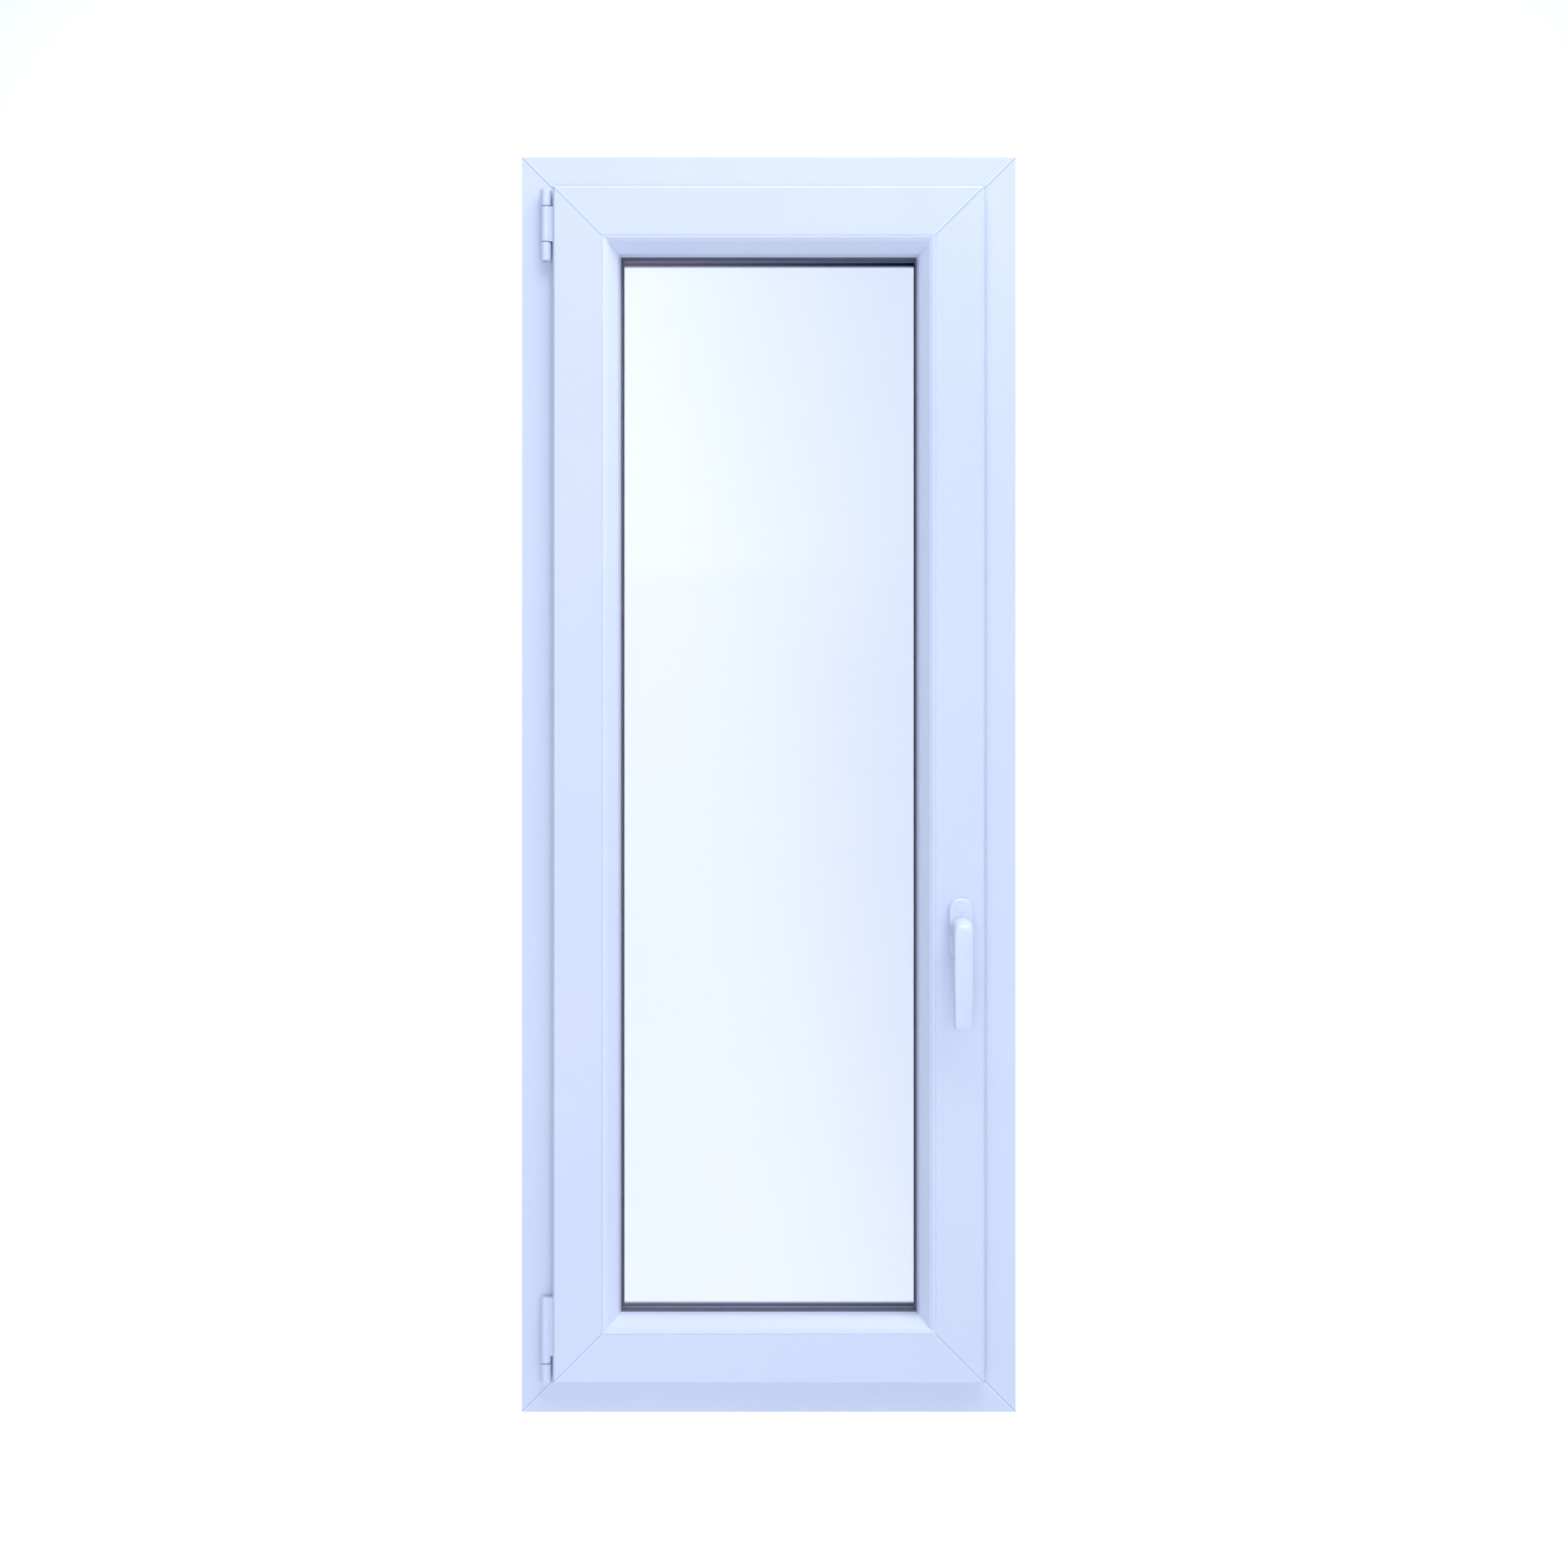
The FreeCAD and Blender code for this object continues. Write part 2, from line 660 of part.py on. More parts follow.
def build_faceplates():
    lock = faceplate("right", body_low + corner + 0.4, body_top - corner - 0.4)
    window = box(
        body_x - 4, body_x + 1, groove_y - 6.3, groove_y + 6.3, handle_z - pitch_r - 2.5, handle_z + pitch_r + 2.5,
    )
    slots = [cam_slot("right", z) for z in lock_cams]
    node("faceplate_lock_side", cut(lock, slots + [window] + plate_bores("right")))

    stay_end = axis_x + stay_reach
    stay_slot = box(
        stay_end - 33, stay_end + 7, groove_y - 5.3, groove_y + 5.3, body_top - 4, body_top + 1,
    )
    top = faceplate("top", -body_x + 60, body_x - corner - 0.4)
    node("faceplate_top", cut(top, [stay_slot, cam_slot("top", top_cam)] + plate_bores("top")))
    bottom = faceplate("bottom", body_x - 280, body_x - corner - 0.4)
    node("faceplate_bottom", cut(bottom, [cam_slot("bottom", bottom_cam)] + plate_bores("bottom")))

    screws = []
    for side, rows in PLATE_SCREWS.items():
        screws += [screw(side, along, PLATE_IN, groove_y, length=17) for along in rows]
    node("faceplate_screws", group(screws))


def corner_drive(top):
    """An L-shaped corner piece: cover strips and the guide that the flat spring runs in."""
    def block(x0, x1, y_half, in0, in1):
        z0, z1 = (body_top - in1, body_top - in0) if top else (body_low + in0, body_low + in1)
        return box(x0, x1, groove_y - y_half, groove_y + y_half, z0, z1)
    upright = block(body_x - 2.6, body_x - 0.2, 7.8, 0.2, corner)
    level = block(body_x - corner, body_x - 0.2, 7.8, 0.2, 2.6)
    guide_up = block(body_x - 11.5, body_x - 2.6, 5.8, 2.6, corner)
    guide_level = block(body_x - corner, body_x - 2.6, 5.8, 2.6, 11.5)
    return fuse([upright, level, guide_up, guide_level])


def build_rods():
    node("corner_drives", group([corner_drive(True), corner_drive(False)]))
    x0, x1 = rebate_x - ROD_BACK, rebate_x - ROD_IN
    rack_x = handle_x - pitch_r
    low_bridge = handle_z - pitch_r - travel - 1.5
    high_bridge = handle_z + pitch_r + 1.5
    lower = drive_strip("right", body_low + corner + 1.4, low_bridge)
    upper = drive_strip("right", high_bridge, body_top - corner - travel - 2)
    arms = [
        box(rack_x - 5, x1, RODS_Y0, RODS_Y1, low_bridge - 5, low_bridge),
        box(rack_x - 5, x1, RODS_Y0, RODS_Y1, high_bridge, high_bridge + 5),
        box(rack_x - 5, rack_x - 0.9, RODS_Y0, RODS_Y1, low_bridge - 5, high_bridge + 5),
    ]
    pitch = 2 * pi * pitch_r / 13
    flank = tan(radians(20))
    tooth = []
    for deep, sign in ((-0.9, -1), (0.7, -1), (0.7, 1), (-0.9, 1)):
        tooth.append((rack_x + deep, sign * (0.68 - deep * flank) * pitch / pi))
    teeth = []
    for k in range(-9, 2):
        z = handle_z + (k + 0.5) * pitch
        loop = [(a, z + b) for a, b in tooth]
        teeth.append(extrude("XZ_Plane", [loop], rod_w, -groove_y, True))
    slots = [rod_slot("right", z) for z in PLATE_SCREWS["right"]]
    node("lock_rod", cut(fuse([lower, upper] + arms + teeth), slots))
    node("locking_cams", group([cam("right", z) for z in lock_cams]))

    top = drive_strip("top", axis_x + stay_reach + 24, body_x - corner - 1)
    node("top_rod", cut(top, [rod_slot("top", body_x - 60)]))
    node("top_cam", cam("top", top_cam))
    bottom = drive_strip("bottom", body_x - 245, body_x - corner - travel - 2)
    node("bottom_rod", cut(bottom, [rod_slot("bottom", body_x - 70)]))
    node("bottom_cam", cam("bottom", bottom_cam))


def build_gear():
    g0, g1 = groove_y - groove_width / 2, groove_y + groove_width / 2
    z0, z1 = handle_z - 50, handle_z + 50
    shell = box(handle_x - pitch_r - 6.5, body_x - 3, g0, g1, z0, z1)
    bosses = [
        rod("y", (handle_x, g0 - 5, handle_z + s), 4, 5.5) for s in (-screw_pitch, screw_pitch)
    ]
    room = box(handle_x - pitch_r - 5.3, body_x, g0 + 1.1, g1 - 1.1, z0 + 1.2, z1 - 1.2)
    way = box(rebate_x - ROD_BACK - 0.3, body_x, g0 + 1.1, g1 - 1.1, z0 - 1, z1 + 1)
    hub = rod("y", (handle_x, g0 - 1, handle_z), 5.65, groove_width + 2)
    bores = [
        rod("y", (handle_x, g0 - 6, handle_z + s), 2.52, 8) for s in (-screw_pitch, screw_pitch)
    ]
    node("gear_case", cut(fuse([shell] + bosses), [room, way, hub] + bores))

    body = DOC.addObject("PartDesign::Body", "Pinion")
    pad(body, circle(body, "XZ_Plane", (0, 0), pitch_r - 0.95, -groove_y), rod_w + 0.2, True)
    pad(body, circle(body, "XZ_Plane", (0, 0), 5.55, -groove_y), groove_width - 0.2, True)
    root, tip = pitch_r - 1.2, pitch_r + 0.7
    tooth = [(-root, -0.9), (-pitch_r, -0.66), (-tip, -0.32), (-tip, 0.32), (-pitch_r, 0.66), (-root, 0.9)]
    one = pad(body, polygons(body, "XZ_Plane", [tooth], -groove_y), rod_w + 0.2, True)
    turns = body.newObject("PartDesign::PolarPattern", "Teeth")
    turns.Originals = [one]
    turns.Axis = (plane(body, "Y_Axis"), [""])
    turns.Angle = 360
    turns.Occurrences = 13
    body.Tip = turns
    DOC.recompute()
    pocket(body, polygons(body, "XZ_Plane", [rect(-3.53, 3.53, -3.53, 3.53)]))
    node("drive_gear", place(body, (handle_x, 0, handle_z)))


# ---------------------------------------------------------------- handle

def rounded(body, base, radius, chosen):
    """Round the edges of a feature that the test picks out."""
    DOC.recompute()
    names = ["Edge%d" % (i + 1) for i, e in enumerate(base.Shape.Edges) if chosen(e)]
    feature = body.newObject("PartDesign::Fillet", "Rounded")
    feature.Base = (base, names)
    feature.Radius = radius
    body.Tip = feature
    return feature


def build_handle():
    a, b, c = rosette_w / 2 - 1.7, rosette_tall / 2 - 1.7, 7.6
    loop = [
        (-a, c - b), (c - a, -b), (a - c, -b), (a, c - b), (a, b - c), (a - c, b), (c - a, b), (-a, b - c),
    ]
    loop = [(handle_x + x, handle_z + z) for x, z in loop]
    plate = extrude("XZ_Plane", [loop], 2.6, -sash_in)
    collar = rod("y", (handle_x, sash_in - 6, handle_z), 8.5, 6)
    bores = [rod("y", (handle_x, sash_in - 7, handle_z), 5.2, 8)]
    for s in (-screw_pitch, screw_pitch):
        bores.append(rod("y", (handle_x, sash_in - 7, handle_z + s), 2.52, 8))
    node("handle_base", cut(fuse([plate, collar]), bores))

    screws = []
    for s in (-screw_pitch, screw_pitch):
        head = rod("y", (handle_x, sash_in - 5.2, handle_z + s), 4.2, 2.6)
        stem = rod("y", (handle_x, sash_in - 2.6, handle_z + s), 2.5, 23.5)
        screws.append(fuse([head, stem]))
    node("handle_screws", group(screws))

    body = DOC.addObject("PartDesign::Body", "Cover")
    half_w, half_z = rosette_w / 2, rosette_tall / 2
    front = sash_in - rosette_thick
    slab = pad(body, polygons(body, "XZ_Plane", [rect(-half_w, half_w, -half_z, half_z)], -sash_in),
               rosette_thick)
    corners = rounded(body, slab, 12.6, lambda e: abs(e.tangentAt(e.FirstParameter).y) > 0.9)
    brow = front.value
    rim = rounded(body, corners, 3, lambda e: e.BoundBox.YMax < brow + 0.01)
    a, b, c = half_w - 1.5, half_z - 1.5, 7.5
    inside = [
        (-a, c - b), (c - a, -b), (a - c, -b), (a, c - b), (a, b - c), (a - c, b), (c - a, b), (-a, b - c),
    ]
    pocket(body, polygons(body, "XZ_Plane", [inside], -sash_in), 2 * (rosette_thick - 1.8))
    pocket(body, circle(body, "XZ_Plane", (0, 0), 9.6, -sash_in))
    node("handle_cover", place(body, (handle_x, 0, handle_z)))

    body = DOC.addObject("PartDesign::Body", "Lever")
    f = front
    side = [
        (f - 13, neck_r - 1), (f - 22, neck_r - 3.4), (f - 29, neck_r - 7.5), (f - 33, neck_r - 14),
        (f - 36, -28), (f - 38, -52), (f - 37.4, -78), (f - 35, 4 - grip_down), (f - 32, -grip_down),
        (f - 28, -grip_down), (f - 26, 4 - grip_down), (f - 27.5, -78), (f - 27.6, -52),
        (f - 25, -30), (f - 19, -18), (f - 13, 1 - neck_r),
    ]
    grip = pad(body, polygons(body, "YZ_Plane", [side]), grip_w, True)
    half_g = grip_w / 2
    low, high = -grip_down - 1, neck_r + 1
    tapers = [
        [(half_g, 8), (half_g + 3, 8), (half_g + 3, low), (half_g - 1.2, low)],
        [(-half_g, 8), (-half_g - 3, 8), (-half_g - 3, low), (1.2 - half_g, low)],
    ]
    shaped = pocket(body, polygons(body, "XZ_Plane", tapers))
    DOC.recompute()
    width = half_g.value - 1.4
    edges = rounded(body, shaped, 3, lambda e: abs(e.CenterOfMass.x) > width
                    and abs(e.tangentAt(e.FirstParameter).x) < 0.5
                    and e.CenterOfMass.y < f.value - 32.5)
    neck = pad(body, circle(body, "XZ_Plane", (0, 0), neck_r, -f + 0.3), 16)
    spigot = pad(body, circle(body, "XZ_Plane", (0, 0), 9.3, -f - 3), 8)
    hole = rect(-3.52, 3.52, -3.52, 3.52)
    pocket(body, polygons(body, "XZ_Plane", [hole], -f), 22)
    node("handle_lever", place(body, (handle_x, 0, handle_z)))
    half = 3.5
    node("handle_spindle", box(
        handle_x - half, handle_x + half, front - 10.8, groove_y + 5.8, handle_z - half, handle_z + half,
    ))


# ---------------------------------------------------------------- hinges and stay

def barrel(low, high):
    """A hinge barrel with its two ends eased."""
    ease = 0.9
    middle = rod("z", (axis_x, axis_y, low + ease), barrel_r, high - low - 2 * ease)
    ends = []
    for z, r0, r1 in ((low, barrel_r - ease, barrel_r), (high - ease, barrel_r, barrel_r - ease)):
        end = DOC.addObject("Part::Cone", "End")
        bind(end, "Radius1", r0)
        bind(end, "Radius2", r1)
        bind(end, "Height", ease)
        ends.append(place(end, (axis_x, axis_y, z)))
    return [middle] + ends


def knuckle(low, high, bore, bore_low=None):
    web = box(axis_x - 4, axis_x + 4, axis_y, frame_in, low, high)
    leaf = box(axis_x - 4, 2 - rebate_x, frame_in - 1.2, frame_in, low, high)
    start = low - 1 if bore_low is None else bore_low
    return fuse(barrel(low, high) + [web, leaf]), rod("z", (axis_x, axis_y, start), bore, high + 1 - start)


def build_corner_hinge():
    low, high = dim(36.2), dim(57.5)
    shape, bore = knuckle(low, high, pin_r + 0.05, dim(40))
    inlay = box(axis_x - 4, -rebate_x, frame_in - 1.2, frame_in + 0.8, low, high)
    leg = box(-rebate_x, -rebate_x + 2, frame_in - 1.2, frame_in + 29, frame_face + 0.2, 110)
    trim = [box(-rebate_x - 0.1, -rebate_x + 3, frame_in - 3, frame_in, 57.5, 111)]
    bracket = cut(fuse([shape, inlay, leg]), [bore] + trim + left_bores(LEFT_SCREWS["pivot"]))
    node("pivot_bracket", bracket)

    def leg_screw(z):
        stem = rod("x", (-rebate_x - 7, groove_y + 2, z), 1.7, 9)
        head = rod("x", (-rebate_x + 2, groove_y + 2, z), 3, 1.2)
        return fuse([stem, head])
    rows = LEFT_SCREWS["pivot"] + LEFT_SCREWS["stay"]
    node("bracket_screws", group([leg_screw(z) for z in rows]))

    stalk = rod("z", (axis_x, axis_y, 40.3), pin_r, 18)
    head = rod("z", (axis_x, axis_y, 57.55), 4, 7.95)
    eye = rod("x", (axis_x - 8, axis_y, tilt_z), 2.05, 16)
    node("pivot_link", cut(fuse([stalk, head]), [eye]))
    node("tilt_pin", rod("x", (axis_x - 6, axis_y, tilt_z), 2, 12))

    low, high = dim(58.4), dim(133.5)
    bridge = box(axis_x, -flange_x - 0.1, axis_y - 4, axis_y + 6, 67, high)
    leaf = box(axis_x, -body_x, flange_back + 0.1, flange_back + 2.1, 67, 130)
    wing = box(-body_x - 2, -body_x, flange_back + 0.1, groove_y + 15, 67, 130)
    cavity_cut = rod("z", (axis_x, axis_y, low - 1), 5, 9.6)
    cross = rod("x", (axis_x - 8, axis_y, tilt_z), 2.02, 16)
    bores = [rod("x", (-body_x - 3, groove_y + 11, z), 1.72, 12) for z in (80, 116)]
    node("corner_hinge_band", cut(fuse(barrel(low, high) + [bridge, leaf, wing]), [cavity_cut, cross] + bores))
    screws = []
    for z in (80, 116):
        stem = rod("x", (-body_x - 2, groove_y + 11, z), 1.7, 11)
        head = rod("x", (-body_x - 3.2, groove_y + 11, z), 3, 1.2)
        screws.append(fuse([stem, head]))
    node("corner_hinge_screws", group(screws))


def build_stay():
    upper, upper_bore = knuckle(body_top - 1.2, body_top + 18.5, pin_r + 0.02)
    lower, lower_bore = knuckle(body_top - 63.7, body_top - 42.7, pin_r + 0.02)
    leg = box(-rebate_x, -rebate_x + 2, frame_in, frame_in + 29, body_top - 63.7, body_top + 10)
    bracket = cut(fuse([upper, lower, leg]), [upper_bore, lower_bore] + left_bores(LEFT_SCREWS["stay"]))
    node("stay_hinge_bracket", bracket)
    node("stay_hinge_pin", rod("z", (axis_x, axis_y, body_top - 63.4), pin_r, 81.6))

    low, high = body_top - 41.8, body_top - 2.1
    bridge = box(axis_x, -flange_x - 0.1, axis_y - 4, axis_y + 6, low, high)
    leaf = box(axis_x, -rebate_x + 7.5, flange_back + 1, flange_back + 3, low, high)
    riser = box(-rebate_x + 2.6, -rebate_x + 7.5, flange_back + 1, flange_back + 3, low, body_top + 6)
    end = axis_x + stay_reach
    rise = body_top + 3
    blade = [
        (-rebate_x + 2.6, flange_back + 1), (-rebate_x + 7.5, flange_back + 1), (end, groove_y - 6),
        (end, groove_y + 6), (-rebate_x + 14, flange_back + 19), (-rebate_x + 2.6, flange_back + 17),
    ]
    plate = extrude("XY_Plane", [blade], 3, rise)
    tip = rod("z", (end, groove_y, rise), 6, 3)
    bore = rod("z", (axis_x, axis_y, low - 1), pin_r + 0.05, 42)
    node("stay_arm", cut(fuse(barrel(low, high) + [bridge, leaf, riser, plate, tip]), [bore]))
    pin = rod("z", (end, groove_y, body_top - 9.5), 3, 12.5)
    node("stay_slider", pin)


def write_parts():
    DOC.recompute()
    for obj in DOC.Objects:
        bad = [word for word in obj.State if word in ("Invalid", "Error")]
        if bad:
            raise RuntimeError("%s (%s): %s" % (obj.Name, obj.Label, bad))
    os.makedirs("parts", exist_ok=True)
    for label, obj in NODES.items():
        if obj.Shape.isNull() or not obj.Shape.isValid() or not obj.Shape.Solids:
            raise RuntimeError("bad shape: " + label)
        obj.Shape.exportStep("parts/%s.step" % label)
    print(len(NODES), "sub-parts written")


build_frame()
build_strikers()
build_sash()
build_glazing()
build_faceplates()
build_rods()
build_gear()
build_handle()
build_corner_hinge()
build_stay()
write_parts()
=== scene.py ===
"""Looks of the tilt-and-turn casement window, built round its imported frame."""
import json
import math
import bmesh
import bpy
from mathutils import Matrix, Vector


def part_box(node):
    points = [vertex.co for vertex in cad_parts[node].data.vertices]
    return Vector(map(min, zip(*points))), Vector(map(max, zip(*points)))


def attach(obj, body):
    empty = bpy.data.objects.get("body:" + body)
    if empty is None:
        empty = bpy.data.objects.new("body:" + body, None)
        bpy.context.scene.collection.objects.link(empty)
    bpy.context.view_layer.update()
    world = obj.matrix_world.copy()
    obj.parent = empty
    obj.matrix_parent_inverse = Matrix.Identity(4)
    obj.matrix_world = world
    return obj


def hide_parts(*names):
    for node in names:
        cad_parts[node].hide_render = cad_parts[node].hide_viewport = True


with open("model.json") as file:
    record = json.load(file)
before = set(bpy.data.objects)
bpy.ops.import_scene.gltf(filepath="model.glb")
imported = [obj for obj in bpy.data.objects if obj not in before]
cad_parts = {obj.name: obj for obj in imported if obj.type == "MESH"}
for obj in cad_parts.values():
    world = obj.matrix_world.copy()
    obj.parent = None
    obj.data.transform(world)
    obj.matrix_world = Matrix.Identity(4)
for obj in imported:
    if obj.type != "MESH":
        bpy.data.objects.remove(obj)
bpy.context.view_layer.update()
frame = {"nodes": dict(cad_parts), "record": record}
NODES = frame["nodes"]
scene = bpy.context.scene

MM = 0.001
SAME_POINT = 1e-6      # metres: points nearer than this are welded into one
WHITE = (0.69, 0.735, 0.89)
WHITE_SHADE = (0.67, 0.72, 0.88)
WINDOW_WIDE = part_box("frame_jamb_right")[1].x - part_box("frame_jamb_left")[0].x
WINDOW_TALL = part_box("frame_head")[1].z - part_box("frame_sill")[0].z


# ------------------------------------------------------------ shader writing

class Field:
    """A shader value that can be written in ordinary arithmetic."""

    def __init__(self, paint, socket):
        self.paint, self.socket = paint, socket

    def _math(self, operation, *values):
        return self.paint.add("ShaderNodeMath", {"operation": operation}, dict(enumerate(values)))

    def __add__(self, other):
        return self._math("ADD", self, other)

    def __sub__(self, other):
        return self._math("SUBTRACT", self, other)

    def __mul__(self, other):
        return self._math("MULTIPLY", self, other)

    def __rsub__(self, other):
        return self._math("SUBTRACT", other, self)

    def __abs__(self):
        return self._math("ABSOLUTE", self)

    def minimum(self, other):
        return self._math("MINIMUM", self, other)

    def ramp(self, low, high, start=0.0, end=1.0):
        """Ease from start to end as the value goes from low to high."""
        return self.paint.add(
            "ShaderNodeMapRange", {"interpolation_type": "SMOOTHSTEP"},
            {"Value": self, "From Min": low, "From Max": high, "To Min": start, "To Max": end},
        )


class Paint:
    """One procedural material and the nodes that make it."""

    def __init__(self, name, **constants):
        self.material = bpy.data.materials.new(name)
        self.material.use_nodes = True
        self.tree = self.material.node_tree
        self.shader = self.tree.nodes["Principled BSDF"]
        for key, value in constants.items():
            self.shader.inputs[key.replace("_", " ")].default_value = value
        self.place = self.add("ShaderNodeTexCoord", out="Object")

    def add(self, kind, settings=None, values=None, out=0):
        """A new node with these settings and inputs; gives back one of its outputs."""
        node = self.tree.nodes.new(kind)
        for key, value in (settings or {}).items():
            setattr(node, key, value)
        for key, value in (values or {}).items():
            self.plug(node.inputs[key], value)
        return Field(self, node.outputs[out])

    def plug(self, socket, value):
        """Link a field to a socket, or set a plain value on it."""
        if isinstance(value, Field):
            self.tree.links.new(value.socket, socket)
        else:
            socket.default_value = value

    def set(self, **fields):
        """Plug fields into the shader's own inputs, by name."""
        for key, value in fields.items():
            self.plug(self.shader.inputs[key.replace("_", " ")], value)
        return self

    def noise(self, scale, detail=3.0, rough=0.5, stretch=None):
        place = self.place
        if stretch:
            place = self.add("ShaderNodeMapping", None, {"Vector": place, "Scale": stretch})
        return self.add("ShaderNodeTexNoise", None,
                        {"Vector": place, "Scale": scale, "Detail": detail, "Roughness": rough})

    def axes(self):
        """The x, y and z of the place being shaded, in metres."""
        split = self.tree.nodes.new("ShaderNodeSeparateXYZ")
        self.plug(split.inputs[0], self.place)
        return [Field(self, split.outputs[i]) for i in range(3)]

    def mix(self, factor, first, second):
        """A colour between first (factor 0) and second (factor 1)."""
        node = self.tree.nodes.new("ShaderNodeMix")
        node.data_type = "RGBA"
        self.plug(node.inputs["Factor"], factor)
        for name, value in (("A", first), ("B", second)):
            socket = [s for s in node.inputs if s.name == name and s.type == "RGBA"][0]
            self.plug(socket, value if isinstance(value, Field) else (*value, 1))
        return Field(self, [s for s in node.outputs if s.type == "RGBA"][0])

    def bump(self, height, depth, strength):
        return self.add("ShaderNodeBump", None,
                        {"Height": height, "Distance": depth, "Strength": strength})


def weld_lines(paint, tone, dark, light):
    """The fine dark line left where two bars are welded at 45 degrees, with a painted highlight
    beside it standing in for its lit lip.
    """
    highlight_offset = 1.6 * MM
    x, _, z = paint.axes()
    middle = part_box("frame_sill")[0].z + WINDOW_TALL / 2
    cross = (WINDOW_WIDE - WINDOW_TALL) / 2 - abs(x) + abs(z - middle)
    line = abs(cross).ramp(0.35 * MM, 1.0 * MM, 1.0, 0.0)
    # painted highlight: a lighter stripe just to one side of the dark joint line
    painted_highlight = abs(cross - highlight_offset).ramp(0.4 * MM, 1.3 * MM, 0.8, 0.0)
    return paint.mix(line, paint.mix(painted_highlight, tone, light), dark)


def satin_plastic(name, colour, shade, rough, welded=False):
    """Extruded white plastic: faint die lines, a fine orange peel and a soft sheen."""
    paint = Paint(name, IOR=1.5)
    cloud = paint.noise(5.0, 4.0, 0.55)
    peel = paint.noise(900.0, 2.0, 0.5)
    smear = paint.noise(30.0, 2.0, 0.45, (1.0, 1.0, 0.25))
    tone = paint.mix(cloud.ramp(0.35, 0.7), colour, shade)
    if welded:
        # welded bars get a dark joint line and a painted highlight beside it
        tone = weld_lines(paint, tone, (0.40, 0.52, 0.84), (0.86, 0.90, 0.97))
    paint.set(
        Base_Color=tone,
        Roughness=smear.ramp(0.3, 0.75, rough - 0.02, rough + 0.03),
        Normal=paint.bump(peel * 0.9 + smear * 0.1, 0.00003, 0.5),
    )
    return paint


def profile_plastic():
    return satin_plastic("profile_plastic", WHITE, WHITE_SHADE, 0.34, welded=True)


def bead_plastic():
    return satin_plastic("bead_plastic", (0.75, 0.79, 0.955), (0.735, 0.78, 0.95), 0.3)


def seal_rubber():
    paint = Paint("seal_rubber", IOR=1.45)
    grain = paint.noise(1400.0, 3.0, 0.6)
    bloom = paint.noise(35.0, 4.0, 0.6)
    paint.set(
        Base_Color=paint.mix(bloom.ramp(0.35, 0.75), (0.095, 0.10, 0.135), (0.12, 0.125, 0.17)),
        Roughness=bloom.ramp(0.3, 0.8, 0.55, 0.72),
        Normal=paint.bump(grain, 0.00006, 0.5),
    )
    return paint


def spacer_plastic():
    paint = Paint("spacer_plastic", IOR=1.46)
    grain = paint.noise(700.0, 2.0, 0.5)
    paint.set(
        Base_Color=paint.mix(grain.ramp(0.35, 0.7), (0.24, 0.34, 0.58), (0.27, 0.38, 0.63)),
        Roughness=grain.ramp(0.3, 0.8, 0.5, 0.7),
        Normal=paint.bump(grain, 0.00005, 0.4),
    )
    return paint


def sealant_black():
    paint = Paint("sealant_black", IOR=1.45)
    grain = paint.noise(260.0, 4.0, 0.6)
    paint.set(
        Base_Color=paint.mix(grain.ramp(0.3, 0.7), (0.02, 0.021, 0.024), (0.035, 0.036, 0.04)),
        Roughness=grain.ramp(0.3, 0.7, 0.45, 0.7),
        Normal=paint.bump(grain, 0.0004, 0.4),
    )
    return paint


def block_plastic():
    paint = Paint("block_plastic", IOR=1.46)
    grain = paint.noise(300.0, 3.0, 0.5)
    paint.set(
        Base_Color=paint.mix(grain.ramp(0.3, 0.7), (0.05, 0.16, 0.08), (0.07, 0.21, 0.11)),
        Roughness=grain.ramp(0.3, 0.7, 0.4, 0.6),
        Normal=paint.bump(grain, 0.0002, 0.4),
    )
    return paint


def plated_steel():
    """Zinc plate with a slight spangle and rolling marks."""
    paint = Paint("plated_steel", IOR=1.5, Metallic=1.0)
    spangle = paint.add("ShaderNodeTexVoronoi", {"feature": "F1"},
                        {"Vector": paint.place, "Scale": 160.0})
    rolled = paint.noise(60.0, 5.0, 0.6, (1.0, 1.0, 0.06))
    paint.set(
        Base_Color=paint.mix(spangle.ramp(0.1, 0.8), (0.58, 0.60, 0.63), (0.46, 0.48, 0.52)),
        Roughness=rolled.ramp(0.3, 0.7, 0.28, 0.46),
        Normal=paint.bump(rolled, 0.00008, 0.4),
    )
    return paint


def zinc_casting():
    paint = Paint("zinc_casting", IOR=1.5, Metallic=1.0)
    grain = paint.noise(500.0, 3.0, 0.6)
    cloud = paint.noise(30.0, 3.0, 0.5)
    paint.set(
        Base_Color=paint.mix(cloud.ramp(0.3, 0.7), (0.50, 0.51, 0.53), (0.62, 0.63, 0.65)),
        Roughness=grain.ramp(0.3, 0.7, 0.38, 0.56),
        Normal=paint.bump(grain, 0.00012, 0.5),
    )
    return paint


def handle_enamel():
    """White powder coat: smooth, with a very fine peel."""
    paint = Paint("handle_enamel", IOR=1.5, Coat_Weight=0.25, Coat_Roughness=0.18)
    peel = paint.noise(620.0, 2.0, 0.45)
    cloud = paint.noise(18.0, 3.0, 0.5)
    paint.set(
        Base_Color=paint.mix(cloud.ramp(0.3, 0.7), (0.72, 0.765, 0.93), (0.705, 0.75, 0.925)),
        Roughness=cloud.ramp(0.3, 0.7, 0.26, 0.36),
        Normal=paint.bump(peel, 0.00005, 0.5),
    )
    return paint


def hinge_enamel():
    paint = Paint("hinge_enamel", IOR=1.5)
    peel = paint.noise(700.0, 2.0, 0.45)
    cloud = paint.noise(30.0, 3.0, 0.5)
    paint.set(
        Base_Color=paint.mix(cloud.ramp(0.3, 0.7), (0.71, 0.75, 0.925), (0.695, 0.74, 0.92)),
        Roughness=cloud.ramp(0.3, 0.7, 0.30, 0.42),
        Normal=paint.bump(peel, 0.00005, 0.5),
    )
    return paint


